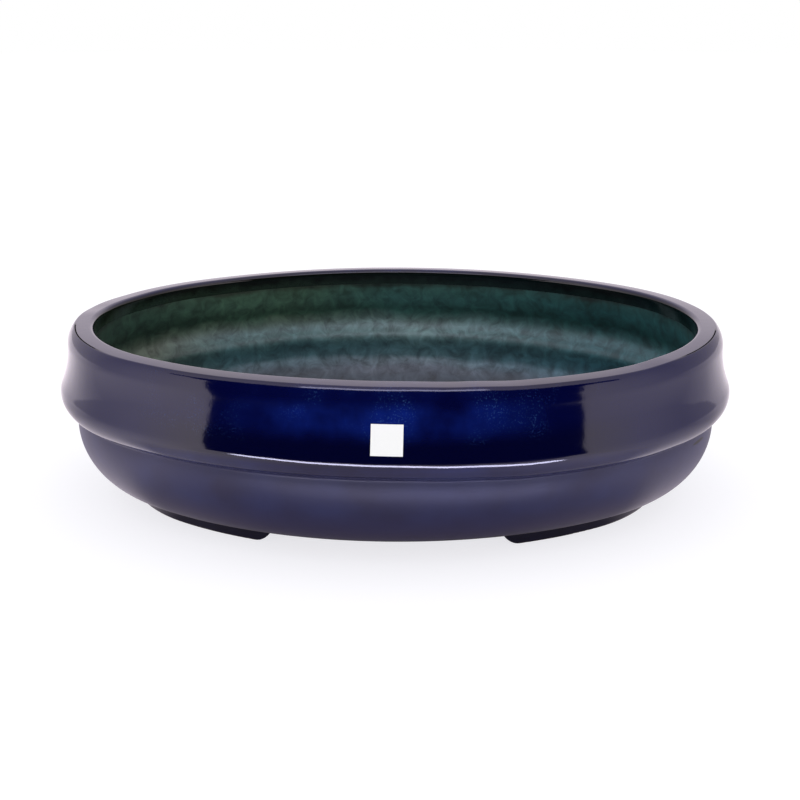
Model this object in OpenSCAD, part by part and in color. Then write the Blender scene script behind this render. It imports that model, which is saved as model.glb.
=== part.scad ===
/* [Plan] */
// Length over the belt, end to end
pot_length = 311; // [280:1:360]
// Depth over the belt, front to back
pot_depth = 251; // [240:1:270]
// Radius of the belt's crest round each end, as a share of half the depth
end_radius_share = 0.88; // [0.8:0.01:0.92]

/* [Height] */
// Height from the table to the top of the rim
pot_height = 80; // [80:1:96]
// Height of the feet, which is also the level of the underside
foot_height = 7; // [5:0.5:9]

/* [Outside of the wall] */
// How far the upper wall stands back from the belt's crest
wall_recess = 4.3; // [3:0.1:4.6]
// Rounding from the wall up to the rim
rim_round = 10.4; // [9:0.1:12]
// How far below the rim that rounding starts. The flat rim cuts its top off in a crisp edge.
rim_drop = 8.6; // [6:0.1:8.6]
// Level of the belt's crest
belt_z = 50; // [48:0.5:50]
// Rounding of the belt's crest
belt_round = 9.2; // [8:0.1:10]
// Hollow curve from the upper wall down to the belt
flare_round = 46; // [20:1:46]
// How far the lower body stands back from the belt's crest, at its widest
lower_recess = 7; // [6.4:0.1:8]
// Level at which the lower body is widest
lower_z = 35.5; // [35:0.5:37]
// Rounding of the lower body, from the crease to the underside
lower_round = 30.5; // [29.5:0.5:34]

/* [Inside of the wall] */
// Width of the rim, from the upper wall to the inner face
rim_width = 12.1; // [10.5:0.1:13]
// Rounding of the rim's inner edge
lip_round = 2.2; // [1:0.1:3]
// Depth of the channel that the belt leaves inside the wall
channel_depth = 4.4; // [3:0.1:5]
// Level of the channel's deepest line
channel_z = 54; // [52:0.5:55]
// Rounding of the channel
channel_round = 10; // [8:0.5:11]
// Hollow curve from the inner face down into the channel
inner_flare_round = 26; // [18:1:28]
// Rounding of the ridge that the crease leaves inside the wall
ridge_round = 5; // [3:0.5:7]
// Thickness of the floor, with its glaze
floor_thickness = 7.5; // [6:0.5:9]

/* [Glaze] */
// Thickness of the glaze coat
glaze_thickness = 0.5; // [0.3:0.1:0.8]
// How far the outer glaze runs down inside the rim
glaze_drop = 7.5; // [5:0.5:9]
// Bare ring left in the floor's glaze round each hole
hole_margin = 1.5; // [1:0.5:3]

/* [Holes] */
// Diameter of the drainage holes
drain_d = 18; // [12:1:24]
// Distance between the drainage holes
drain_spacing = 110; // [90:1:130]
// Diameter of the holes for tie wires
wire_d = 5; // [4:0.5:7]
// Distance between the wire holes, along the pot
wire_spacing_x = 160; // [150:1:170]
// Distance between the wire holes, across the pot
wire_spacing_y = 76; // [60:1:84]

/* [Feet] */
// How far the outer face of the feet stands back from the belt's crest
foot_inset = 32.5; // [31:0.5:38]
// Width of a foot, from its outer to its inner face
foot_width = 12; // [9:1:14]
// Gap between the two front feet, and between the two back feet
front_gap = 97; // [80:1:110]
// Gap between the front and the back foot, at each end
end_gap = 52; // [40:1:70]
// Rounding of a foot's ends, seen from the side
foot_end_round = 10; // [3:0.5:10]
// Rounding of a foot's lower edges
foot_edge_round = 1; // [0.5:0.1:2]

/* [Label] */
// Side of the square paper label
label_size = 13.2; // [10:0.1:16]
// Thickness of the label's paper
label_thickness = 0.2; // [0.1:0.05:0.3]
// Level of the label's middle
label_z = 59.6; // [58:0.1:62]
// How far the label's middle stands right of the pot's middle
label_x = 1.9; // [-20:0.1:20]

/* [Hidden] */
$fn = 180;

// The plan is an oval of four arcs: one about a centre in each half of the length, and one
// about a centre beyond the middle for each long side. They meet at joint_angle. The end's
// radius is kept to half millimetres.
end_radius = round(end_radius_share * pot_depth) / 2;
end_centre = pot_length / 2 - end_radius;
side_rise = pot_depth / 2 - end_radius;
side_centre = (end_centre * end_centre - side_rise * side_rise) / (2 * side_rise);
side_radius = pot_depth / 2 + side_centre;
joint_angle = atan2(side_centre, end_centre);

// The wall's section has X = 0 at the belt's crest and runs inwards to ring_depth, where the
// flat floor takes over. floor_lap is how far the floor plate reaches into the ring.
ring_depth = 50;
floor_lap = 2;
overrun = 1;

floor_z = foot_height + floor_thickness;
inner_face = wall_recess + rim_width;
lower_x = -lower_recess - lower_round;

// Hollow curves on the outside: where they leave the wall, and their angle where they meet the belt
function flare_rise(recess, radii) = sqrt(recess * (2 * radii - recess));
flare_z = belt_z + flare_rise(wall_recess, belt_round + flare_round);
flare_angle = atan2(flare_z - belt_z, belt_round + flare_round - wall_recess);

// The same inside, down into the channel
channel_x = -inner_face + channel_depth - channel_round;
inner_flare_z = channel_z + flare_rise(channel_depth, channel_round + inner_flare_round);
inner_flare_angle = atan2(inner_flare_z - channel_z,
                          channel_round + inner_flare_round - channel_depth);

// The cove round the floor is one arc, tangent to the floor, on the lower body's own centre
cove_round = lower_z - floor_z;

// The ridge stands this much into the curves beside it, so that they cross cleanly
ridge_lap = 0.005;

// Centre of an arc of radius r that touches two arcs from outside, on their right-hand side
function touching(a, ra, b, rb, r) =
    let (d = norm(b - a), u = (b - a) / d,
         along = ((ra + r) * (ra + r) - (rb + r) * (rb + r) + d * d) / (2 * d),
         off = sqrt((ra + r) * (ra + r) - along * along))
    a + along * u + off * [-u[1], u[0]];
ridge_centre = touching([channel_x, channel_z], channel_round, [lower_x, lower_z], cove_round,
                        ridge_round - ridge_lap);

// A rectangle from its lower left to its upper right corner
module span(low, high) {
    translate(low) square(high - low);
}

module disc(centre, r) {
    translate(centre) circle(r);
}

// Everything inside the outer surface, set back by inset from the finished glaze
module outer_section(inset) {
    left = -ring_depth;
    shoulder = [-wall_recess - rim_round, pot_height - rim_drop];
    crest = belt_round - inset;
    flare_end = [-belt_round + crest * cos(flare_angle), belt_z + crest * sin(flare_angle)];
    // Rim and upper wall, rounded on the outside and cut flat on top
    intersection() {
        union() {
            span([left, belt_z], [shoulder[0], pot_height - inset]);
            span([left, belt_z], [-wall_recess - inset, shoulder[1]]);
            disc(shoulder, rim_round - inset);
        }
        span([left, belt_z], [0, pot_height - inset]);
    }
    // Hollow curve down to the belt
    difference() {
        span([left, flare_end[1]], [flare_end[0], flare_z]);
        disc([-wall_recess + flare_round, flare_z], flare_round + inset);
    }
    // Belt
    disc([-belt_round, belt_z], crest);
    span([left, lower_z], [-belt_round, flare_z]);
    // Lower body, cut flat at the underside
    difference() {
        disc([lower_x, lower_z], lower_round - inset);
        span([lower_x - lower_round, 0], [0, foot_height]);
        span([lower_x - lower_round, 0], [left, pot_height]);
    }
    span([left, foot_height], [lower_x, belt_z]);
}

// The bowl's hollow, made larger by grow than the finished glaze leaves it
module hollow_section(grow) {
    left = -ring_depth - overrun;
    face = -inner_face + grow;
    bend = channel_round + grow;
    flare_end = [channel_x + bend * cos(inner_flare_angle),
                 channel_z + bend * sin(inner_flare_angle)];
    // Mouth, with the rim's inner edge rounded
    span([left, channel_z], [face, pot_height + overrun]);
    difference() {
        span([left, pot_height - lip_round], [-inner_face + lip_round, pot_height + overrun]);
        disc([-inner_face + lip_round, pot_height - lip_round], lip_round - grow);
    }
    // Hollow curve down into the channel
    difference() {
        span([left, flare_end[1]], [flare_end[0], inner_flare_z]);
        disc([-inner_face + inner_flare_round, inner_flare_z], inner_flare_round - grow);
    }
    // Channel, ridge and cove
    span([left, lower_z], [channel_x, inner_flare_z]);
    disc([channel_x, channel_z], bend);
    difference() {
        polygon([[channel_x, channel_z], ridge_centre, [lower_x, lower_z]]);
        disc(ridge_centre, ridge_round - grow);
    }
    difference() {
        disc([lower_x, lower_z], cove_round + grow);
        span([lower_x - lower_round, 0], [left, pot_height]);
    }
    span([left, floor_z - grow], [lower_x, channel_z]);
}

module clay_section() {
    difference() {
        outer_section(glaze_thickness);
        hollow_section(glaze_thickness);
    }
}

// The green coat, on the hollow's side of the wall below the glaze line
module inner_coat_section() {
    intersection() {
        difference() {
            hollow_section(glaze_thickness);
            hollow_section(0);
        }
        span([-ring_depth, 0], [0, pot_height - glaze_drop]);
    }
}

// The blue coat is what else lies between the clay and the finished surface
module outer_coat_section() {
    difference() {
        outer_section(0);
        hollow_section(0);
        clay_section();
        inner_coat_section();
    }
}

// The part of the plan that one arc sweeps, from the arc's centre out past the wall
module zone(corners) {
    translate([0, 0, -overrun]) linear_extrude(pot_height + 2 * overrun) polygon(corners);
}

// Sweeps a section right round the oval, as two end sectors and two side sectors
module sweep() {
    far_x = end_centre + pot_length * cos(joint_angle);
    far_y = pot_length * sin(joint_angle);
    past_x = far_x + pot_length;
    past_y = far_y + pot_length;
    for (side = [0, 1]) mirror([side, 0, 0]) intersection() {
        translate([end_centre, 0, 0]) rotate_extrude() translate([end_radius, 0]) children();
        zone([[end_centre, 0], [far_x, -far_y], [past_x, -far_y], [past_x, far_y], [far_x, far_y]]);
    }
    for (side = [0, 1]) mirror([0, side, 0]) intersection() {
        translate([0, -side_centre, 0]) rotate_extrude() translate([side_radius, 0]) children();
        zone([[0, -side_centre], [end_centre, 0], [far_x, far_y], [far_x, past_y],
              [-far_x, past_y], [-far_x, far_y], [-end_centre, 0]]);
    }
}

// The oval itself, moved inwards by inset
module oval(inset) {
    for (x = [-end_centre, end_centre]) disc([x, 0], end_radius - inset);
    joint_x = end_centre + (end_radius - inset) * cos(joint_angle);
    intersection() {
        disc([0, -side_centre], side_radius - inset);
        disc([0, side_centre], side_radius - inset);
        span([-joint_x, -pot_depth], [joint_x, pot_depth]);
    }
}

module floor_plate(low, high) {
    translate([0, 0, low]) linear_extrude(high - low) oval(ring_depth - floor_lap);
}

module floor_holes(margin) {
    length = floor_thickness + 2 * overrun;
    for (x = [-drain_spacing / 2, drain_spacing / 2])
        translate([x, 0, foot_height - overrun]) cylinder(h = length, d = drain_d + 2 * margin);
    for (x = [-wire_spacing_x / 2, wire_spacing_x / 2], y = [-wire_spacing_y / 2, wire_spacing_y / 2])
        translate([x, y, foot_height - overrun]) cylinder(h = length, d = wire_d + 2 * margin);
}

// Cast wall and floor
module clay_body() {
    color("#6f665f") difference() {
        union() {
            sweep() clay_section();
            floor_plate(foot_height, floor_z - glaze_thickness);
        }
        floor_holes(0);
    }
}

// Blue coat, from the underside's edge up over the rim and down to the glaze line
module outer_glaze() {
    color("#151a4d") sweep() outer_coat_section();
}

// Green coat on the inner wall and the floor
module inner_glaze() {
    color("#24483f") difference() {
        union() {
            sweep() inner_coat_section();
            floor_plate(floor_z - glaze_thickness, floor_z);
        }
        floor_holes(hole_margin);
    }
}

// Section of a foot, with its lower edges rounded
module foot_section() {
    r = foot_edge_round;
    outer = -foot_inset;
    inner = -foot_inset - foot_width;
    for (x = [outer - r, inner + r]) disc([x, r], r);
    span([inner + r, 0], [outer - r, foot_height]);
    span([inner, r], [outer, foot_height]);
}

// Section of a gap between two feet: the ends beside it are rounded underneath
module gap_section(gap) {
    half = gap / 2;
    r = foot_end_round;
    span([-half, -overrun], [half, foot_height + overrun]);
    difference() {
        span([-half - r, -overrun], [half + r, r]);
        for (x = [-half - r, half + r]) disc([x, r], r);
    }
}

// One foot: a quarter of a ring that follows the oval, cut short by the gaps beside it.
// side_x and side_y, each -1 or 1, say which quarter it is.
module foot(side_x, side_y) {
    color("#1c1d38") difference() {
        intersection() {
            sweep() foot_section();
            scale([side_x, side_y, 1]) cube([pot_length, pot_depth, foot_height]);
        }
        rotate([90, 0, 0]) linear_extrude(2 * pot_depth, center = true) gap_section(front_gap);
        rotate([90, 0, 90]) linear_extrude(2 * pot_length, center = true) gap_section(end_gap);
    }
}

module foot_front_left() foot(-1, -1);
module foot_front_right() foot(1, -1);
module foot_back_left() foot(-1, 1);
module foot_back_right() foot(1, 1);

// Paper label, which follows the front of the wall just above the belt's crest
module label() {
    half_turn = asin((abs(label_x) + label_size) / (side_radius - wall_recess));
    color("white") intersection() {
        translate([0, side_centre, 0]) rotate([0, 0, 270 - half_turn])
            rotate_extrude(angle = 2 * half_turn) translate([side_radius, 0]) difference() {
                outer_section(-label_thickness);
                outer_section(0);
            }
        translate([label_x - label_size / 2, -pot_depth, label_z - label_size / 2])
            cube([label_size, pot_depth, label_size]);
    }
}

clay_body();
outer_glaze();
inner_glaze();
foot_front_left();
foot_front_right();
foot_back_left();
foot_back_right();
label();
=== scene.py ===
import bpy
import bmesh
from math import acos, asin, atan2, copysign, cos, degrees, hypot, pi, radians, sin, sqrt
from mathutils import Matrix, Vector, noise
from mathutils.bvhtree import BVHTree


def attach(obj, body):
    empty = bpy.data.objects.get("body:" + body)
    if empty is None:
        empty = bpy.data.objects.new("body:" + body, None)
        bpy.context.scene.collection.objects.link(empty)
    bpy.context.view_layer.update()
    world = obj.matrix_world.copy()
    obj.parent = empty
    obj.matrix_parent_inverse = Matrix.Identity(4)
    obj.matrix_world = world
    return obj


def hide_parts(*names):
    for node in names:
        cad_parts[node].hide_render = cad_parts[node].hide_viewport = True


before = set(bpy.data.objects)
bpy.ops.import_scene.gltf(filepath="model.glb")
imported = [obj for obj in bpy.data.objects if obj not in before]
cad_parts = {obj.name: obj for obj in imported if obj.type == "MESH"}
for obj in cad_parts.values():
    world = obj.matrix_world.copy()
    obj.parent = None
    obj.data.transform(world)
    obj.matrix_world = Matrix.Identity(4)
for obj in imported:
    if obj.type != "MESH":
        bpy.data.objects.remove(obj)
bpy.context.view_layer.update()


# Camera
# A 70 mm lens looks at the pot from 0.7 m in front and a little above, as in the photograph,
# turned about 2 degrees to the left. The lens is worked out for a frame of 800 x 800.
MM = 0.001
CAMERA_PLACE = (28.43, -701.87, 248.60)
CAMERA_DOWN, CAMERA_LEFT = 16.579, 2.112
camera = bpy.data.objects.new("camera", bpy.data.cameras.new("camera"))
bpy.context.collection.objects.link(camera)
camera.location = [c * MM for c in CAMERA_PLACE]
camera.rotation_euler = (radians(90 - CAMERA_DOWN), 0, radians(CAMERA_LEFT))
camera.data.lens = 69.608
camera.data.sensor_width = 36
camera.data.clip_start = 0.01
bpy.context.scene.camera = camera


# Light tent
# The pot stands on a white sheet in a white cloth tent: light comes evenly from all round.
# The tent is open in front, where the room is dark, and the glaze mirrors that opening.
def linear(colour):
    """The linear colour that shaders take, from an sRGB hex value."""
    parts = (int(colour[i:i + 2], 16) / 255 for i in (1, 3, 5))
    return tuple(c / 12.92 if c <= 0.04045 else ((c + 0.055) / 1.055) ** 2.4 for c in parts) + (1,)


def node(tree, kind, inputs={}, **settings):
    """Adds one node with its settings. Each input is a value, or the output it is linked to."""
    made = tree.nodes.new(kind)
    for name, value in settings.items():
        setattr(made, name, value)
    for name, value in inputs.items():
        if isinstance(value, bpy.types.NodeSocket):
            tree.links.new(value, made.inputs[name])
        else:
            made.inputs[name].default_value = value
    return made


def new_tree(name):
    """An empty material, and its node tree."""
    material = bpy.data.materials.new(name)
    material.use_nodes = True
    material.node_tree.nodes.clear()
    return material, material.node_tree


TENT_TINT = (1, 0.90, 0.98, 1)


def cloth_light(tree, toward):
    """How bright the glaze mirrors the tent in a direction, and how far ahead of the pot that is.

    It is brightest round the opening in front, and a little dimmer at the right.
    """
    level = node(tree, "ShaderNodeVectorMath", {0: toward, 1: (1, 1, 0)}, operation="MULTIPLY")
    level = node(tree, "ShaderNodeVectorMath", {0: level.outputs[0]}, operation="NORMALIZE")
    ahead = node(tree, "ShaderNodeVectorMath", {0: level.outputs[0], 1: (0, -1, 0)},
                 operation="DOT_PRODUCT").outputs["Value"]
    right = node(tree, "ShaderNodeVectorMath", {0: level.outputs[0], 1: (1, 0, 0)},
                 operation="DOT_PRODUCT").outputs["Value"]
    sides = node(tree, "ShaderNodeMapRange", {0: ahead, 1: -0.35, 2: 0.6, 3: 0.78, 4: 1.75},
                 interpolation_type="SMOOTHSTEP")
    back = node(tree, "ShaderNodeMapRange", {0: ahead, 1: -0.85, 2: -0.98, 3: 0.0, 4: 0.36})
    both = node(tree, "ShaderNodeMath", {0: sides.outputs[0], 1: back.outputs[0]}, operation="ADD")
    dimmer = node(tree, "ShaderNodeMapRange", {0: right, 1: 0.0, 2: 0.7, 3: 1.0, 4: 0.84})
    cloth = node(tree, "ShaderNodeMath", {0: both.outputs[0], 1: dimmer.outputs[0]},
                 operation="MULTIPLY")
    return cloth.outputs[0], ahead


world = bpy.data.worlds.new("light tent")
world.use_nodes = True
world.node_tree.nodes.clear()
tree = world.node_tree
ray = node(tree, "ShaderNodeLightPath")
direction = node(tree, "ShaderNodeTexCoord").outputs["Generated"]
cloth = cloth_light(tree, direction)[0]
# Overhead the cloth is even all round
up = node(tree, "ShaderNodeSeparateXYZ", {0: direction}).outputs["Z"]
overhead = node(tree, "ShaderNodeMapRange", {0: up, 1: 0.65, 2: 0.9})
cloth = node(tree, "ShaderNodeMix", {0: overhead.outputs[0], 2: cloth, 3: 1.0})
tent = node(tree, "ShaderNodeBackground", {"Color": TENT_TINT, "Strength": cloth.outputs[0]})
white = node(tree, "ShaderNodeBackground", {"Color": (1, 1, 1, 1), "Strength": 1})
seen = node(tree, "ShaderNodeMixShader",
            {0: ray.outputs["Is Glossy Ray"], 1: white.outputs[0], 2: tent.outputs[0]})
node(tree, "ShaderNodeOutputWorld", {"Surface": seen.outputs[0]})
bpy.context.scene.world = world
bpy.context.scene.view_settings.view_transform = "Standard"


def add_object(name, bm, material):
    """An object of one material, made from a bmesh and linked into the scene."""
    mesh = bpy.data.meshes.new(name)
    bm.to_mesh(mesh)
    mesh.materials.append(material)
    made = bpy.data.objects.new(name, mesh)
    bpy.context.collection.objects.link(made)
    return made


# The sheet under the pot, which keeps its soft shadow. For the glaze's reflections it is a painted
# glow, as bright as the tent behind it, but darker in front, with a painted shadow of the pot
# close to it in front, and brighter at the back.
SHEET_RADIUS = 3000
POT_OVAL = (155, 125)
sheet_white, tree = new_tree("white cotton sheet")
ray = node(tree, "ShaderNodeLightPath")
sheet = node(tree, "ShaderNodeBsdfDiffuse", {"Color": linear("#ffffff")})
glow = node(tree, "ShaderNodeEmission", {"Color": (0.98, 0.975, 1.02, 1), "Strength": 1.17})
to_camera = node(tree, "ShaderNodeMath", {0: ray.outputs["Is Camera Ray"], 1: 0.65},
                 operation="MULTIPLY")
floor_seen = node(tree, "ShaderNodeMixShader",
                  {0: to_camera.outputs[0], 1: sheet.outputs[0], 2: glow.outputs[0]})
place = node(tree, "ShaderNodeTexCoord").outputs["Object"]
cloth, ahead = cloth_light(tree, place)
front = node(tree, "ShaderNodeMapRange", {0: ahead, 1: 0.62, 2: 0.95, 3: 1.0, 4: 0.56})
oval = node(tree, "ShaderNodeVectorMath",
            {0: place, 1: (1 / (POT_OVAL[0] * MM), 1 / (POT_OVAL[1] * MM), 0)},
            operation="MULTIPLY")
apart = node(tree, "ShaderNodeVectorMath", {0: oval.outputs[0]}, operation="LENGTH")
# A painted shadow of the pot on the sheet, darkest close to it, as the glaze mirrors it
painted_pot_shadow = node(tree, "ShaderNodeMapRange",
            {0: apart.outputs["Value"], 1: 0.92, 2: 1.65, 3: 0.27, 4: 1.0},
            interpolation_type="SMOOTHSTEP")
beside = node(tree, "ShaderNodeMapRange", {0: ahead, 1: 0.52, 2: 0.38})
painted_pot_shadow = node(tree, "ShaderNodeMix", {0: beside.outputs[0], 2: painted_pot_shadow.outputs[0], 3: 1.0})
behind = node(tree, "ShaderNodeMapRange", {0: ahead, 1: -0.1, 2: -0.5, 3: 1.0, 4: 1.75})
far_back = node(tree, "ShaderNodeMapRange", {0: ahead, 1: -0.8, 2: -0.95, 3: 1.0, 4: 0.57})
painted_sheet_light = cloth
for factor in (painted_pot_shadow, behind, far_back, front):
    painted_sheet_light = node(tree, "ShaderNodeMath", {0: painted_sheet_light, 1: factor.outputs[0]},
                    operation="MULTIPLY").outputs[0]
painted_sheet_glow = node(tree, "ShaderNodeEmission", {"Color": TENT_TINT, "Strength": painted_sheet_light})
floor_skin = node(tree, "ShaderNodeMixShader",
                  {0: ray.outputs["Is Glossy Ray"], 1: floor_seen.outputs[0],
                   2: painted_sheet_glow.outputs[0]})
node(tree, "ShaderNodeOutputMaterial", {"Surface": floor_skin.outputs[0]})
bm = bmesh.new()
bmesh.ops.create_circle(bm, cap_ends=True, radius=SHEET_RADIUS * MM, segments=96)
add_object("floor_sheet", bm, sheet_white)

LAMP_TINT = (1, 0.98, 1.35, 1)


def card(name, corners, strength):
    """A flat card that only the glaze's reflections see: lit, or dark at a strength of 0."""
    material, tree = new_tree(name + " card")
    light = node(tree, "ShaderNodeEmission", {"Color": LAMP_TINT, "Strength": strength})
    node(tree, "ShaderNodeOutputMaterial", {"Surface": light.outputs[0]})
    bm = bmesh.new()
    bm.faces.new([bm.verts.new(Vector(c) * MM) for c in corners])
    made = add_object(name, bm, material)
    made.visible_camera = False
    made.visible_diffuse = False
    made.visible_shadow = False
    made.visible_transmission = False
    made.visible_volume_scatter = False


# The opening, whose top edge rises from the middle to both sides, and the seam that it runs on
# into at each side
OPENING_Y = -250
OPENING = [(-259, 0), (301, 0), (297, 78), (304, 144), (324, 180), (397, 322), (462, 413),
           (597, 617), (376, 459), (174, 335), (84, 299), (12, 286), (-57, 290), (-138, 313),
           (-334, 415), (-566, 566), (-440, 386), (-400, 366), (-363, 297), (-300, 175),
           (-266, 85), (-260, 48)]
card("open_front", [(x, OPENING_Y, z) for x, z in OPENING], 0)
card("seam_left", [(-440, -250, 386), (-434, -203, 384), (-469, -150, 368), (-460, -135, 380),
                   (-425, -183, 401), (-408, -203, 409), (-566, -250, 566)], 0)
card("seam_right", [(462, -250, 413), (444, -199, 381), (472, -158, 366), (456, -130, 392),
                    (428, -169, 408), (407, -194, 418), (597, -250, 617)], 0)
# The lit front edge of the sheet, which draws the bright line under the belt's crest, and the
# lamp over the opening, which draws the fine one along the rim
card("sheet_edge", [(-178, -242, 0.5), (0, -219, 0.5), (152, -189, 0.5), (148, -165, 0.5),
                    (0, -193, 0.5), (-172, -209, 0.5)], 18)
card("lamp_bar", [(-275, -410, 600), (-121, -440, 600), (21, -445, 600), (162, -430, 600),
                  (312, -388, 600), (282, -322, 600), (141, -360, 600), (18, -373, 600),
                  (-110, -368, 600), (-248, -342, 600)], 5)


# Clay body
# One slip-cast shell of stoneware, wall and floor together, fired under its glaze. It shows
# bare only underneath, in its drainage and wire holes, and in a ring round each hole.

# The oval of the belt's crest: two end arcs and two side arcs that run into each other. A centre
# is given by how far it is from the middle, and a turn is half an arc's.
END_RADIUS, END_CENTRE = 110.5, 45
SIDE_RADIUS, SIDE_CENTRE = 185.5, 60
END_TURN = acos(END_CENTRE / hypot(END_CENTRE, SIDE_CENTRE))
SIDE_TURN = pi / 2 - END_TURN
HEIGHT, FOOT_HEIGHT, FLOOR_Z = 80, 7, 14.5
GLAZE = 0.5
# The wall's section is drawn with arcs of these circles: x from the belt's crest, z, radius
LOWER = (-37.5, 35.5, 30.5)
BELT = (-9.2, 50, 9.2)
FLARE = (41.7, 71.36, 46)
SHOULDER = (-14.7, 72.05, 10.4)
RIM_EDGE = (-8.04, 78.4, 1.2)
LIP = (-14.2, 77.8, 2.2)
INNER_FLARE = (9.6, 71.2, 26)
CHANNEL = (-22, 54, 10)
COVE = (-37.5, 35.5, 21)
CREASE_ROUND, RIDGE_ROUND = 1.2, 5
# How much the flat of the rim falls outwards, in radians
RIM_SLOPE = 0.065
# How far inside the belt's crest the sweep stops and the flat floor takes over
RING_DEPTH = 48.5


def touching(a, b, r):
    """Centre of a circle of radius r that touches two circles, to the left of the line a to b."""
    dx, dz = b[0] - a[0], b[1] - a[1]
    d = hypot(dx, dz)
    along = ((a[2] + r) ** 2 - (b[2] + r) ** 2 + d * d) / (2 * d)
    off = sqrt((a[2] + r) ** 2 - along ** 2)
    return a[0] + (along * dx - off * dz) / d, a[1] + (along * dz + off * dx) / d


CREASE = touching(BELT, LOWER, CREASE_ROUND) + (CREASE_ROUND,)
RIDGE = touching(CHANNEL, COVE, RIDGE_ROUND) + (RIDGE_ROUND,)


def pen(bm, x, z):
    """Starts a section at x from the belt's crest and height z, in the plane of the right end."""
    bm.verts.layers.float.new("run")
    bm.verts.new(((END_CENTRE + END_RADIUS + x) * MM, 0, z * MM))


def last_point(bm):
    bm.verts.ensure_lookup_table()
    return bm.verts[-1]


def line(bm, x, z, steps=1):
    """Draws the section on in a straight line to a point."""
    goal = Vector(((END_CENTRE + END_RADIUS + x) * MM, 0, z * MM))
    step = (goal - last_point(bm).co) / steps
    for _ in range(steps):
        bmesh.ops.extrude_vert_indiv(bm, verts=[last_point(bm)])
        last_point(bm).co += step


def arc(bm, circle, start, end, spacing):
    """Draws the section on along a circle between two angles, in steps of about spacing mm."""
    x, z, r = circle
    centre = Vector(((END_CENTRE + END_RADIUS + x) * MM, 0, z * MM))
    goal = centre + Vector((cos(start), 0, sin(start))) * r * MM
    if (goal - last_point(bm).co).length > 1e-7:
        line(bm, x + r * cos(start), z + r * sin(start))
    steps = max(2, round(abs(end - start) * r / spacing))
    bmesh.ops.spin(bm, geom=[last_point(bm)], cent=centre, axis=(0, -1, 0), angle=end - start,
                   steps=steps)


def draw(bm, arcs, spacing, forwards):
    """Draws arcs, each a circle, its start and end angle and its fineness, forwards or back."""
    if not forwards:
        arcs = [(circle, end, start, fine) for circle, start, end, fine in reversed(arcs)]
    for circle, start, end, fine in arcs:
        arc(bm, circle, start, end, fine * spacing)


def sized(circle, change):
    return circle[0], circle[1], circle[2] + change


def draw_outside(bm, inset, spacing, forwards=True):
    """Draws the outer line of the wall, from the underside up to the rim's inner edge, or back."""
    lower, belt = sized(LOWER, -inset), sized(BELT, -inset)
    flare, shoulder, lip = sized(FLARE, inset), sized(SHOULDER, -inset), sized(LIP, -inset)
    rim_edge = sized(RIM_EDGE, -inset)
    crease = sized(CREASE, inset)
    over = atan2(RIM_EDGE[1] - SHOULDER[1], RIM_EDGE[0] - SHOULDER[0])
    bottom = -asin((lower[1] - FOOT_HEIGHT) / lower[2])
    on_lower = atan2(CREASE[1] - LOWER[1], CREASE[0] - LOWER[0])
    on_belt = atan2(CREASE[1] - BELT[1], CREASE[0] - BELT[0])
    flare_angle = atan2(FLARE[1] - BELT[1], FLARE[0] - BELT[0])
    draw(bm, [(lower, bottom, on_lower, 1), (crease, pi + on_lower, pi + on_belt, 0.3),
              (belt, on_belt, flare_angle, 0.5), (flare, pi + flare_angle, pi, 1),
              (shoulder, 0, over, 0.6), (rim_edge, over, pi / 2 - RIM_SLOPE, 0.15),
              (lip, pi / 2 - RIM_SLOPE, pi, 0.3)], spacing, forwards)


def draw_inside(bm, grow, spacing, forwards=True):
    """Draws the inner line of the wall, from the inner face down to the floor, or back."""
    flare, channel = sized(INNER_FLARE, -grow), sized(CHANNEL, grow)
    ridge, cove = sized(RIDGE, -grow), sized(COVE, grow)
    flare_angle = atan2(INNER_FLARE[1] - CHANNEL[1], INNER_FLARE[0] - CHANNEL[0])
    to_ridge = atan2(RIDGE[1] - CHANNEL[1], RIDGE[0] - CHANNEL[0])
    to_cove = atan2(COVE[1] - RIDGE[1], COVE[0] - RIDGE[0])
    draw(bm, [(flare, pi, pi + flare_angle, 1), (channel, flare_angle, to_ridge, 0.9),
              (ridge, pi + to_ridge, 2 * pi + to_cove, 0.6),
              (cove, pi + to_cove, -pi / 2, 1.2)], spacing, forwards)


def sweep(bm, spacing):
    """Spins the section a quarter round the oval, half an end and half a side, and mirrors it.

    Each point keeps in "run" how far along the section it lies, for the glaze's material.
    """
    run = bm.verts.layers.float["run"]
    bm.verts.ensure_lookup_table()
    for before, after in zip(bm.verts[:-1], bm.verts[1:]):
        after[run] = before[run] + (after.co - before.co).length
    geometry = bm.verts[:] + bm.edges[:]
    for x, y, radius, turn in ((END_CENTRE, 0, END_RADIUS, END_TURN),
                               (0, -SIDE_CENTRE, SIDE_RADIUS, SIDE_TURN)):
        spun = bmesh.ops.spin(bm, geom=geometry, cent=(x * MM, y * MM, 0), axis=(0, 0, 1),
                              angle=turn, steps=round(radius * turn / spacing))
        geometry = spun["geom_last"]
    for axis in "XY":
        bmesh.ops.mirror(bm, geom=bm.verts[:] + bm.edges[:] + bm.faces[:], merge_dist=1e-7,
                         axis=axis)


# The holes in the floor, as x, y, radius and corners: two for drainage and four for tie wires
DRAIN_X, DRAIN_RADIUS = 55, 9
WIRE_X, WIRE_Y, WIRE_RADIUS = 80, 38, 2.5
HOLES = [(x, 0, DRAIN_RADIUS, 64) for x in (-DRAIN_X, DRAIN_X)]
HOLES += [(x, y, WIRE_RADIUS, 32) for x in (-WIRE_X, WIRE_X) for y in (-WIRE_Y, WIRE_Y)]


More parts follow.
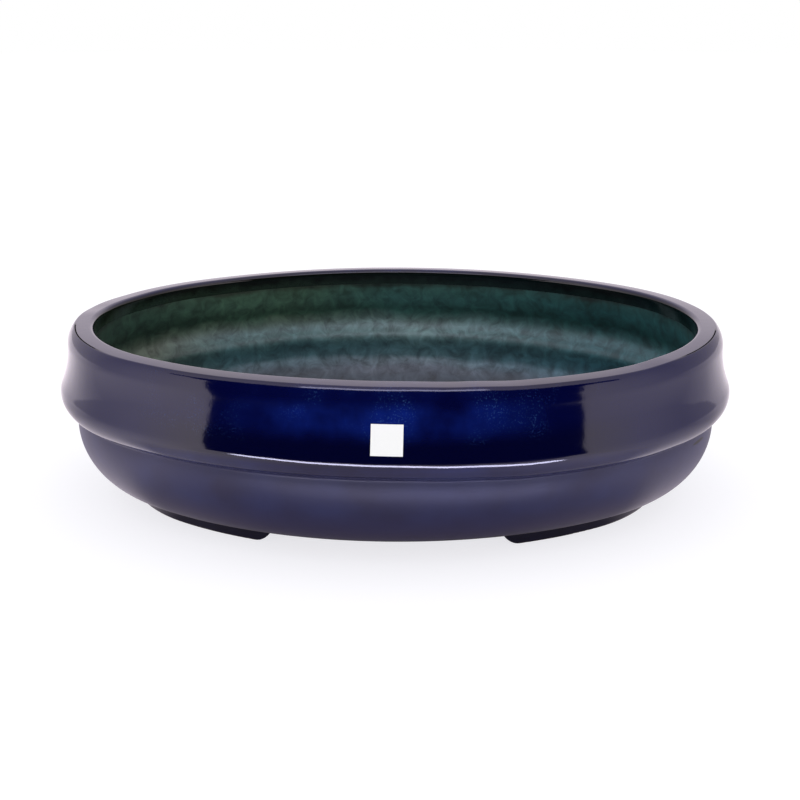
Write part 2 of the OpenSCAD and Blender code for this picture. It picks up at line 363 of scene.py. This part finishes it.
def close_floor(bm, low, high, margin, edge):
    """Closes the open ring with a floor between two levels.

    Its holes are cut wider by a margin, and their edges are rounded.
    """
    rims = []
    for z, side in ((low, -1), (high, 1)):
        border = [e for e in bm.edges if e.is_boundary and abs(e.verts[0].co.z - z * MM) < 1e-6
                  and abs(e.verts[1].co.z - z * MM) < 1e-6]
        rings = []
        for x, y, r, segments in HOLES:
            made = bmesh.ops.create_circle(bm, cap_ends=False, radius=(r + margin) * MM,
                                           segments=segments,
                                           matrix=Matrix.Translation((x * MM, y * MM, z * MM)))
            rings.append(list({e for v in made["verts"] for e in v.link_edges}))
        bmesh.ops.triangle_fill(bm, use_beauty=True, use_dissolve=False, normal=(0, 0, side),
                                edges=border + [e for ring in rings for e in ring])
        rims.append(rings)
    for low_ring, high_ring in zip(*rims):
        bmesh.ops.bridge_loops(bm, edges=low_ring + high_ring)
    sharp = [e for rings in rims for ring in rings for e in ring]
    bmesh.ops.bevel(bm, geom=sharp, offset=edge * MM, segments=3, profile=0.5, affect="EDGES",
                    material=-1)


# How far the rim and the belt have sagged or risen in the kiln, in mm, by the angle round the
# oval: from the left end along the front to the right end at 0, and back along the far side
SAG = [(-180, 0.0), (-150, 0.1), (-122, 0.2), (-98, 0.5), (-88, 0.35), (-79, -0.3), (-71, -1.2),
       (-58, -1.45), (-42, -0.5), (-15, 0.0), (15, -0.2), (60, -0.5), (95, -0.5), (125, -0.9),
       (150, -1.0), (168, -0.5), (180, 0.0)]
# Up to the first level the wall stayed true, and from the second it moved in full
STEADY_TO, FREE_FROM = 12, 38
# Two waves that push the wall in and out, as length and depth
WIDE_WAVE, SHORT_WAVE = (45, 0.25), (16, 0.1)


def eased(table, at):
    """The value between two rows of a table, eased from one to the next."""
    for (x0, y0), (x1, y1) in zip(table, table[1:]):
        if x0 <= at <= x1:
            t = (at - x0) / (x1 - x0)
            return y0 + (y1 - y0) * t * t * (3 - 2 * t)


def handmade(v):
    """Where a point of the true oval lies on this fired pot, which is a little out of true."""
    height = min(max((v.z / MM - STEADY_TO) / (FREE_FROM - STEADY_TO), 0), 1)
    height *= height * (3 - 2 * height)
    x, y = v.x / MM, v.y / MM
    if abs(x) < (abs(y) + SIDE_CENTRE) * END_CENTRE / SIDE_CENTRE:
        turn = atan2(y + copysign(SIDE_CENTRE, y), x)
    else:
        turn = atan2(y, x - copysign(END_CENTRE, x))
    rise = eased(SAG, degrees(turn))
    wide = noise.noise(v / (WIDE_WAVE[0] * MM)) * WIDE_WAVE[1]
    short = noise.noise(v / (SHORT_WAVE[0] * MM) + Vector((7, 3, 1))) * SHORT_WAVE[1]
    out = Vector((v.x, v.y, 0)).normalized()
    return v + (out * (wide + short) + Vector((0, 0, rise))) * height * MM


CRISP_ANGLE = 32


def finish_piece(name, bm, material, cad_node):
    """Makes the piece that stands for a CAD node: normals outwards, and only crisp edges sharp."""
    for v in bm.verts:
        v.co = handmade(v.co)
    bmesh.ops.recalc_face_normals(bm, faces=bm.faces[:])
    for face in bm.faces:
        face.smooth = True
    for edge in bm.edges:
        edge.smooth = edge.calc_face_angle(0) < radians(CRISP_ANGLE)
    piece = add_object(name, bm, material)
    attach(piece, "root")
    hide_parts(cad_node)
    return piece


# Bare fired stoneware is matt and grainy, with darker specks of grog and a faint blush
stoneware, tree = new_tree("bare fired stoneware")
place = node(tree, "ShaderNodeTexCoord").outputs["Object"]
grog = node(tree, "ShaderNodeTexNoise", {"Vector": place, "Scale": 1 / (1.2 * MM), "Detail": 6})
blush = node(tree, "ShaderNodeTexNoise", {"Vector": place, "Scale": 1 / (60 * MM), "Detail": 3})
clay_colour = node(tree, "ShaderNodeMix", {0: blush.outputs["Fac"], 6: linear("#8a7868"),
                                           7: linear("#6d5f55")}, data_type="RGBA")
speck = node(tree, "ShaderNodeMapRange", {0: grog.outputs["Fac"], 1: 0.62, 2: 0.72})
clay_specked = node(tree, "ShaderNodeMix", {0: speck.outputs[0], 6: clay_colour.outputs[2],
                                            7: linear("#4a3f38")}, data_type="RGBA")
rough = node(tree, "ShaderNodeBump", {"Height": grog.outputs["Fac"], "Strength": 0.5,
                                      "Distance": 0.3 * MM})
clay_skin = node(tree, "ShaderNodeBsdfPrincipled",
                 {"Base Color": clay_specked.outputs[2], "Roughness": 0.85,
                  "Normal": rough.outputs[0]})
node(tree, "ShaderNodeOutputMaterial", {"Surface": clay_skin.outputs[0]})

bm = bmesh.new()
pen(bm, -RING_DEPTH, FOOT_HEIGHT)
draw_outside(bm, inset=GLAZE, spacing=2)
draw_inside(bm, grow=GLAZE, spacing=2.5)
line(bm, -RING_DEPTH, FLOOR_Z - GLAZE)
sweep(bm, spacing=3.5)
close_floor(bm, low=FOOT_HEIGHT, high=FLOOR_Z - GLAZE, margin=0, edge=0.4)
finish_piece("clay_body_casting", bm, stoneware, "clay_body")


# Outer glaze
# A cobalt blue glaze, dipped on and fired: glossy on the rim, the wall and the belt, satin on
# the lower body. Painted shade darkens it on the front above the belt and along the bottom edge,
# and a painted reflection of the tent greys the lower body. It breaks pale in specks, and is near
# black where it rolls over into the bowl and meets the green.

# The level inside the bowl where the two glazes meet, the x of the inner face there, and the x
# of the coat's lower edge
GLAZE_LINE = HEIGHT - 7.5
INNER_FACE = LIP[0] - LIP[2]
HEM_X = LOWER[0] + LOWER[2] * cos(asin((LOWER[1] - FOOT_HEIGHT) / LOWER[2]))
bm = bmesh.new()
pen(bm, HEM_X, FOOT_HEIGHT)
draw_outside(bm, inset=0, spacing=1)
# How far along the section the rim's inner edge lies
over_rim = sum(e.calc_length() for e in bm.edges)
line(bm, INNER_FACE, GLAZE_LINE, steps=5)
line(bm, INNER_FACE + GLAZE, GLAZE_LINE)
draw_outside(bm, inset=GLAZE, spacing=4, forwards=False)
bm.edges.new((last_point(bm), bm.verts[0]))
sweep(bm, spacing=2.1)

# Fired cobalt glaze is a glassy coat, wavy as orange peel, that mirrors the tent: a black opening
# between grey cloth
cobalt, tree = new_tree("fired cobalt glaze")
place = node(tree, "ShaderNodeTexCoord").outputs["Object"]
xyz = node(tree, "ShaderNodeSeparateXYZ", {0: place})
run = node(tree, "ShaderNodeAttribute", attribute_name="run").outputs["Fac"]
cloud = node(tree, "ShaderNodeTexNoise", {"Vector": place, "Scale": 1 / (22 * MM), "Detail": 4})
grain = node(tree, "ShaderNodeTexNoise", {"Vector": place, "Scale": 1 / (0.7 * MM), "Detail": 2})
peel = node(tree, "ShaderNodeTexNoise", {"Vector": place, "Scale": 1 / (5 * MM), "Detail": 4})
# Darker just above the belt on the front, a painted shade where it faces the dark opening.
# Lighter up the wall in the middle, and darker again towards the rim
sideways = node(tree, "ShaderNodeMath", {0: xyz.outputs["X"]}, operation="ABSOLUTE")
on_front = node(tree, "ShaderNodeMapRange", {0: sideways.outputs[0], 1: 80 * MM, 2: 105 * MM,
                                             3: 1.0, 4: 0.0})
above = node(tree, "ShaderNodeMapRange", {0: xyz.outputs["Z"], 1: 56 * MM, 2: 65 * MM,
                                          3: 1.0, 4: 0.0}, interpolation_type="SMOOTHSTEP")
below = node(tree, "ShaderNodeMapRange", {0: xyz.outputs["Z"], 1: 46 * MM, 2: 49 * MM})
# Painted shade on the front just above the belt, where it faces the dark opening
painted_front_shade = node(tree, "ShaderNodeMath", {0: above.outputs[0], 1: below.outputs[0]},
              operation="MULTIPLY")
painted_front_shade = node(tree, "ShaderNodeMath", {0: painted_front_shade.outputs[0], 1: on_front.outputs[0]},
              operation="MULTIPLY")
shade = node(tree, "ShaderNodeMapRange", {0: cloud.outputs["Fac"], 1: 0.3, 2: 0.7})
middle = node(tree, "ShaderNodeMapRange", {0: sideways.outputs[0], 1: 32 * MM, 2: 66 * MM,
                                           3: 1.0, 4: 0.1})
top = node(tree, "ShaderNodeMapRange", {0: xyz.outputs["Z"], 1: 75 * MM, 2: 70 * MM,
                                        3: 0.2, 4: 1.0})
wall_shade = node(tree, "ShaderNodeMath", {0: shade.outputs[0], 1: middle.outputs[0]},
                  operation="MULTIPLY")
wall_shade = node(tree, "ShaderNodeMath", {0: wall_shade.outputs[0], 1: top.outputs[0]},
                  operation="MULTIPLY")
blue = node(tree, "ShaderNodeMix", {0: wall_shade.outputs[0], 6: linear("#020430"),
                                    7: linear("#0a1e70")}, data_type="RGBA")
blue = node(tree, "ShaderNodeMix", {0: on_front.outputs[0], 6: linear("#050a3c"),
                                    7: blue.outputs[2]}, data_type="RGBA")
blue = node(tree, "ShaderNodeMix", {0: painted_front_shade.outputs[0], 6: blue.outputs[2],
                                    7: linear("#020326")}, data_type="RGBA")
# Pale specks in clusters on the upper wall. Real ones are finer than the render can show.
cluster = node(tree, "ShaderNodeMapRange", {0: cloud.outputs["Fac"], 1: 0.5, 2: 0.66, 4: 0.26})
high = node(tree, "ShaderNodeMapRange", {0: xyz.outputs["Z"], 1: 55 * MM, 2: 61 * MM})
cluster = node(tree, "ShaderNodeMath", {0: cluster.outputs[0], 1: high.outputs[0]},
               operation="MULTIPLY")
cluster = node(tree, "ShaderNodeMath", {0: cluster.outputs[0], 1: on_front.outputs[0]},
               operation="MULTIPLY")
speck = node(tree, "ShaderNodeMapRange", {0: grain.outputs["Fac"], 1: 0.58, 2: 0.72})
specks = node(tree, "ShaderNodeMath", {0: cluster.outputs[0], 1: speck.outputs[0]},
              operation="MULTIPLY")
blue = node(tree, "ShaderNodeMix", {0: specks.outputs[0], 6: blue.outputs[2],
                                    7: linear("#4d78bc")}, data_type="RGBA")
# Thinner and greyer under the belt's crest, lower down at both ends; part of the grey is a painted
# reflection of the tent. Purplish towards the bottom, with a painted shadow along the bottom edge
ends = node(tree, "ShaderNodeMapRange", {0: sideways.outputs[0], 1: 80 * MM, 2: 125 * MM,
                                         3: 0.0, 4: 4 * MM})
raised = node(tree, "ShaderNodeMath", {0: xyz.outputs["Z"], 1: ends.outputs[0]}, operation="ADD")
under = node(tree, "ShaderNodeMapRange", {0: raised.outputs[0], 1: 50 * MM, 2: 46 * MM})
# Part of this grey is a painted reflection of the tent
satin_blue_with_painted_light = node(tree, "ShaderNodeMix", {0: shade.outputs[0], 6: linear("#2b2947"),
                                         7: linear("#2f3158")}, data_type="RGBA")
low = node(tree, "ShaderNodeMapRange", {0: xyz.outputs["Z"], 1: 26 * MM, 2: 14 * MM})
satin_blue_with_painted_light = node(tree, "ShaderNodeMix", {0: low.outputs[0], 6: satin_blue_with_painted_light.outputs[2],
                                         7: linear("#35304f")}, data_type="RGBA")
# A painted shadow darkens the bottom edge of the body
painted_hem_shadow = node(tree, "ShaderNodeMapRange", {0: xyz.outputs["Z"], 1: 9.5 * MM, 2: 8 * MM})
satin_blue_with_painted_light = node(tree, "ShaderNodeMix", {0: painted_hem_shadow.outputs[0], 6: satin_blue_with_painted_light.outputs[2],
                                         7: linear("#100d20")}, data_type="RGBA")
blue = node(tree, "ShaderNodeMix", {0: under.outputs[0], 6: blue.outputs[2],
                                    7: satin_blue_with_painted_light.outputs[2]}, data_type="RGBA")
# Near black with a touch of olive inside the rim
inside = node(tree, "ShaderNodeMapRange", {0: run, 1: over_rim - 2.2 * MM, 2: over_rim - 0.6 * MM})
across = node(tree, "ShaderNodeMapRange", {0: xyz.outputs["X"], 1: -110 * MM, 2: 60 * MM})
edge_dark = node(tree, "ShaderNodeMix", {0: across.outputs[0], 6: linear("#0c0d05"),
                                         7: linear("#030a0c")}, data_type="RGBA")
# It thins to olive where the green runs up into it
streaks = node(tree, "ShaderNodeTexNoise", {"Vector": place, "Scale": 1 / (6 * MM), "Detail": 5})
creep = node(tree, "ShaderNodeMapRange", {0: streaks.outputs["Fac"], 1: 0.3, 2: 0.7,
                                          3: -1.6 * MM, 4: 1.6 * MM})
creep = node(tree, "ShaderNodeMath", {0: xyz.outputs["Z"], 1: creep.outputs[0]}, operation="ADD")
thin = node(tree, "ShaderNodeMapRange", {0: creep.outputs[0], 1: 76 * MM, 2: 72.5 * MM})
olive = node(tree, "ShaderNodeMix", {0: across.outputs[0], 6: linear("#1f2b20"),
                                     7: linear("#0e1c1c")}, data_type="RGBA")
edge_dark = node(tree, "ShaderNodeMix", {0: thin.outputs[0], 6: edge_dark.outputs[2],
                                         7: olive.outputs[2]}, data_type="RGBA")
blue = node(tree, "ShaderNodeMix", {0: inside.outputs[0], 6: blue.outputs[2],
                                    7: edge_dark.outputs[2]}, data_type="RGBA")
# A short scratch in the satin glaze, under the belt at the right
SCRATCH, SCRATCH_LENGTH, SCRATCH_WIDTH = (136.2, -49.0, 36.6), 15, 1.8
from_scratch = node(tree, "ShaderNodeVectorMath", {0: place, 1: tuple(c * MM for c in SCRATCH)},
                    operation="SUBTRACT")
from_scratch = node(tree, "ShaderNodeVectorMath",
                    {0: from_scratch.outputs[0],
                     1: (2 / (SCRATCH_LENGTH * MM), 2 / (SCRATCH_LENGTH * MM),
                         2 / (SCRATCH_WIDTH * MM))},
                    operation="MULTIPLY")
from_scratch = node(tree, "ShaderNodeVectorMath", {0: from_scratch.outputs[0]}, operation="LENGTH")
scratch = node(tree, "ShaderNodeMapRange", {0: from_scratch.outputs["Value"], 1: 1.0, 2: 0.7})
blue = node(tree, "ShaderNodeMix", {0: scratch.outputs[0], 6: blue.outputs[2],
                                    7: linear("#0a0a14")}, data_type="RGBA")
# Glossy down to the crease and satin below it, with a stronger sheen at both ends
body = node(tree, "ShaderNodeMapRange", {0: xyz.outputs["Z"], 1: 42.5 * MM, 2: 40 * MM})
satin = node(tree, "ShaderNodeMapRange", {0: body.outputs[0], 3: 0.08, 4: 0.42})
body_gloss = node(tree, "ShaderNodeMapRange", {0: sideways.outputs[0], 1: 50 * MM, 2: 100 * MM,
                                               3: 0.2, 4: 0.36})
gloss = node(tree, "ShaderNodeMix", {0: body.outputs[0], 2: 0.5, 3: body_gloss.outputs[0]})
waves = node(tree, "ShaderNodeBump", {"Height": peel.outputs["Fac"], "Strength": 0.16,
                                      "Distance": 0.2 * MM})
# A dark hairline along the rim's crisp outer edge, at both ends on the front side
RIM_WIDTH = LIP[2] * pi / 2 + RIM_EDGE[0] - LIP[0]
from_edge = node(tree, "ShaderNodeMath", {0: run, 1: over_rim - RIM_WIDTH * MM},
                 operation="SUBTRACT")
from_edge = node(tree, "ShaderNodeMath", {0: from_edge.outputs[0]}, operation="ABSOLUTE")
hair = node(tree, "ShaderNodeMapRange", {0: from_edge.outputs[0], 1: 0.25 * MM, 2: 0.5 * MM,
                                         3: 1.0, 4: 0.0})
at_ends = node(tree, "ShaderNodeMapRange", {0: sideways.outputs[0], 1: 118 * MM, 2: 127 * MM})
in_front = node(tree, "ShaderNodeMapRange", {0: xyz.outputs["Y"], 1: -14 * MM, 2: -20 * MM})
hair = node(tree, "ShaderNodeMath", {0: hair.outputs[0], 1: at_ends.outputs[0]},
            operation="MULTIPLY")
hair = node(tree, "ShaderNodeMath", {0: hair.outputs[0], 1: in_front.outputs[0]},
            operation="MULTIPLY")
blue = node(tree, "ShaderNodeMix", {0: hair.outputs[0], 6: blue.outputs[2],
                                    7: linear("#0a0a12")}, data_type="RGBA")
gloss = node(tree, "ShaderNodeMix", {0: hair.outputs[0], 2: gloss.outputs[0], 3: 0.0})
cobalt_skin = node(tree, "ShaderNodeBsdfPrincipled",
                   {"Base Color": blue.outputs[2], "Roughness": satin.outputs[0], "IOR": 1.5,
                    "Specular IOR Level": gloss.outputs[0], "Normal": waves.outputs[0]})
node(tree, "ShaderNodeOutputMaterial", {"Surface": cobalt_skin.outputs[0]})
outer_glaze = finish_piece("outer_glaze_coat", bm, cobalt, "outer_glaze")


# Inner glaze
# The same dip inside, but of a copper green glaze that ran and feathered in the kiln.
# Painted light makes it pale and grey-green on the upward faces of channel and cove, and painted
# shade makes it dark between.

# Fired copper green glaze is semi-matt and mottled, with soft painted light and shade in rings
# that follow the wall
green, tree = new_tree("fired copper green glaze")
place = node(tree, "ShaderNodeTexCoord").outputs["Object"]
xyz = node(tree, "ShaderNodeSeparateXYZ", {0: place})
height = node(tree, "ShaderNodeMapRange", {0: xyz.outputs["Z"], 1: FLOOR_Z * MM, 2: HEIGHT * MM})
cloud = node(tree, "ShaderNodeTexNoise", {"Vector": place, "Scale": 1 / (26 * MM), "Detail": 3})
sway = node(tree, "ShaderNodeMapRange", {0: cloud.outputs["Fac"], 1: 0.3, 2: 0.7,
                                         3: -0.03, 4: 0.03})
level = node(tree, "ShaderNodeMath", {0: height.outputs[0], 1: sway.outputs[0]}, operation="ADD")
# The green, with painted light and shade by height
green_light_and_shade = node(tree, "ShaderNodeValToRGB", {0: level.outputs[0]})
green_light_and_shade.color_ramp.elements.remove(green_light_and_shade.color_ramp.elements[0])
green_light_and_shade.color_ramp.elements[0].position = 1.0
green_light_and_shade.color_ramp.elements[0].color = linear("#141c18")
# Its colour by the level in mm, from the floor up to the glaze line: the green, with painted light
# on the upward faces and painted shade under the overhangs
GREEN_LIGHT_AND_SHADE = ((FLOOR_Z, "#3a4552"), (23, "#3f4a57"), (26.5, "#5d6674"), (30.5, "#768794"),
         (33, "#4a6770"), (37.5, "#406067"), (41, "#4a686c"), (44, "#587376"),
         (48.5, "#627d80"), (52.5, "#4a6462"), (57.5, "#2a4e48"), (65, "#345b58"),
         (70.3, "#2c4f4a"), (72.2, "#1c2f2a"))
for z, colour in GREEN_LIGHT_AND_SHADE:
    stop = green_light_and_shade.color_ramp.elements.new((z - FLOOR_Z) / (HEIGHT - FLOOR_Z))
    stop.color = linear(colour)
# Yellower to the left on the upper wall, and darker towards both ends, more teal to the right
leftwards = node(tree, "ShaderNodeMapRange", {0: xyz.outputs["X"], 1: -5 * MM, 2: -58 * MM})
rightwards = node(tree, "ShaderNodeMapRange", {0: xyz.outputs["X"], 1: 10 * MM, 2: 100 * MM})
left_end = node(tree, "ShaderNodeMapRange", {0: xyz.outputs["X"], 1: -92 * MM, 2: -125 * MM})
upper = node(tree, "ShaderNodeMapRange", {0: xyz.outputs["Z"], 1: 48 * MM, 2: 57 * MM})
left_cast = node(tree, "ShaderNodeMix", {0: upper.outputs[0], 6: (0.7, 0.8, 0.8, 1),
                                         7: (1.5, 1.06, 0.76, 1)}, data_type="RGBA")
cast = node(tree, "ShaderNodeMix", {0: leftwards.outputs[0], 6: (1, 1, 1, 1),
                                    7: left_cast.outputs[2]}, data_type="RGBA")
cast = node(tree, "ShaderNodeMix", {0: left_end.outputs[0], 6: cast.outputs[2],
                                    7: (0.75, 0.58, 0.42, 1)}, data_type="RGBA")
cast = node(tree, "ShaderNodeMix", {0: rightwards.outputs[0], 6: cast.outputs[2],
                                    7: (0.4, 0.65, 0.74, 1)}, data_type="RGBA")
tinted = node(tree, "ShaderNodeMix", {0: 1.0, 6: green_light_and_shade.outputs[0], 7: cast.outputs[2]},
              data_type="RGBA", blend_type="MULTIPLY")
feather = node(tree, "ShaderNodeTexNoise", {"Vector": place, "Scale": 1 / (7 * MM), "Detail": 7,
                                            "Roughness": 0.62, "Distortion": 0.7})
wisps = node(tree, "ShaderNodeMapRange", {0: feather.outputs["Fac"], 1: 0.35, 2: 0.68,
                                          3: 0.62, 4: 1.65})
brushed = node(tree, "ShaderNodeVectorMath", {0: tinted.outputs[2], "Scale": wisps.outputs[0]},
               operation="SCALE")
green_bump = node(tree, "ShaderNodeBump", {"Height": feather.outputs["Fac"], "Strength": 0.35,
                                           "Distance": 0.3 * MM})
green_skin = node(tree, "ShaderNodeBsdfPrincipled",
                  {"Base Color": brushed.outputs[0], "Roughness": 0.45, "IOR": 1.5,
                   "Normal": green_bump.outputs[0]})
node(tree, "ShaderNodeOutputMaterial", {"Surface": green_skin.outputs[0]})

bm = bmesh.new()
pen(bm, -RING_DEPTH, FLOOR_Z - GLAZE)
draw_inside(bm, grow=GLAZE, spacing=3, forwards=False)
line(bm, INNER_FACE + GLAZE, GLAZE_LINE)
line(bm, INNER_FACE, GLAZE_LINE)
draw_inside(bm, grow=0, spacing=1)
line(bm, -RING_DEPTH, FLOOR_Z, steps=4)
sweep(bm, spacing=2.4)
close_floor(bm, low=FLOOR_Z - GLAZE, high=FLOOR_Z, margin=1.5, edge=0.2)
finish_piece("inner_glaze_coat", bm, green, "inner_glaze")


# Feet
# Four low curved feet, cast on the underside along the oval and glazed with the wall. The
# glaze is wiped off where they stand, down to the clay.

# Thin cobalt glaze is satin and nearly black in the pot's shade
foot_glaze, tree = new_tree("thin cobalt glaze on the feet")
place = node(tree, "ShaderNodeTexCoord").outputs["Object"]
wear = node(tree, "ShaderNodeTexNoise", {"Vector": place, "Scale": 1 / (5 * MM), "Detail": 6})
foot_blue = node(tree, "ShaderNodeMix", {0: wear.outputs["Fac"], 6: linear("#08061c"),
                                         7: linear("#120f30")}, data_type="RGBA")
foot_height = node(tree, "ShaderNodeSeparateXYZ", {0: place}).outputs["Z"]
wiped = node(tree, "ShaderNodeMapRange", {0: foot_height, 1: 0.6 * MM, 2: 0.2 * MM})
foot_colour = node(tree, "ShaderNodeMix", {0: wiped.outputs[0], 6: foot_blue.outputs[2],
                                           7: linear("#7c6d5f")}, data_type="RGBA")
foot_satin = node(tree, "ShaderNodeMapRange", {0: wiped.outputs[0], 3: 0.4, 4: 0.85})
foot_skin = node(tree, "ShaderNodeBsdfPrincipled",
                 {"Base Color": foot_colour.outputs[2], "Roughness": foot_satin.outputs[0],
                  "IOR": 1.5, "Specular IOR Level": 0.25})
node(tree, "ShaderNodeOutputMaterial", {"Surface": foot_skin.outputs[0]})
for name in ("foot_front_left", "foot_front_right", "foot_back_left", "foot_back_right"):
    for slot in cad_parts[name].material_slots:
        slot.material = foot_glaze


# Label
# A small square paper sticker pressed onto the front of the wall, bare and white. It was stuck
# on about a degree out of true.

# Coated label paper is a smooth dull white with a faint fibre
paper, tree = new_tree("coated label paper")
place = node(tree, "ShaderNodeTexCoord").outputs["Object"]
fibre = node(tree, "ShaderNodeTexNoise", {"Vector": place, "Scale": 1 / (0.8 * MM), "Detail": 4})
paper_white = node(tree, "ShaderNodeMix", {0: fibre.outputs["Fac"], 6: linear("#fafafc"),
                                           7: linear("#ffffff")}, data_type="RGBA")
paper_skin = node(tree, "ShaderNodeBsdfPrincipled",
                  {"Base Color": paper_white.outputs[2], "Roughness": 0.45})
node(tree, "ShaderNodeOutputMaterial", {"Surface": paper_skin.outputs[0]})

LABEL_WIDTH, LABEL_RISE, PAPER = 12.9, 12.2, 0.2
LABEL_X, LABEL_Z, LABEL_TILT = 1.9, 59.6, 0.9
# It starts flat, well in front of the pot, and is pressed straight back onto the glaze
LABEL_START_Y = -200
glaze_shape = bmesh.new()
glaze_shape.from_mesh(outer_glaze.data)
wall = BVHTree.FromBMesh(glaze_shape)
bm = bmesh.new()
bmesh.ops.create_grid(bm, x_segments=24, y_segments=24, size=0.5)
bmesh.ops.scale(bm, verts=bm.verts[:], vec=(LABEL_WIDTH * MM, LABEL_RISE * MM, 1))
bmesh.ops.rotate(bm, verts=bm.verts[:], matrix=Matrix.Rotation(radians(-LABEL_TILT), 3, "Z"))
bmesh.ops.rotate(bm, verts=bm.verts[:], matrix=Matrix.Rotation(pi / 2, 3, "X"))
bmesh.ops.translate(bm, verts=bm.verts[:], vec=Vector((LABEL_X, LABEL_START_Y, LABEL_Z)) * MM)
for v in bm.verts:
    v.co = wall.ray_cast(v.co, Vector((0, 1, 0)))[0]
bmesh.ops.recalc_face_normals(bm, faces=bm.faces[:])
label = add_object("paper_label", bm, paper)
thickness = label.modifiers.new("paper thickness", "SOLIDIFY")
thickness.thickness = PAPER * MM
thickness.offset = 1
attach(label, "root")
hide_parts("label")
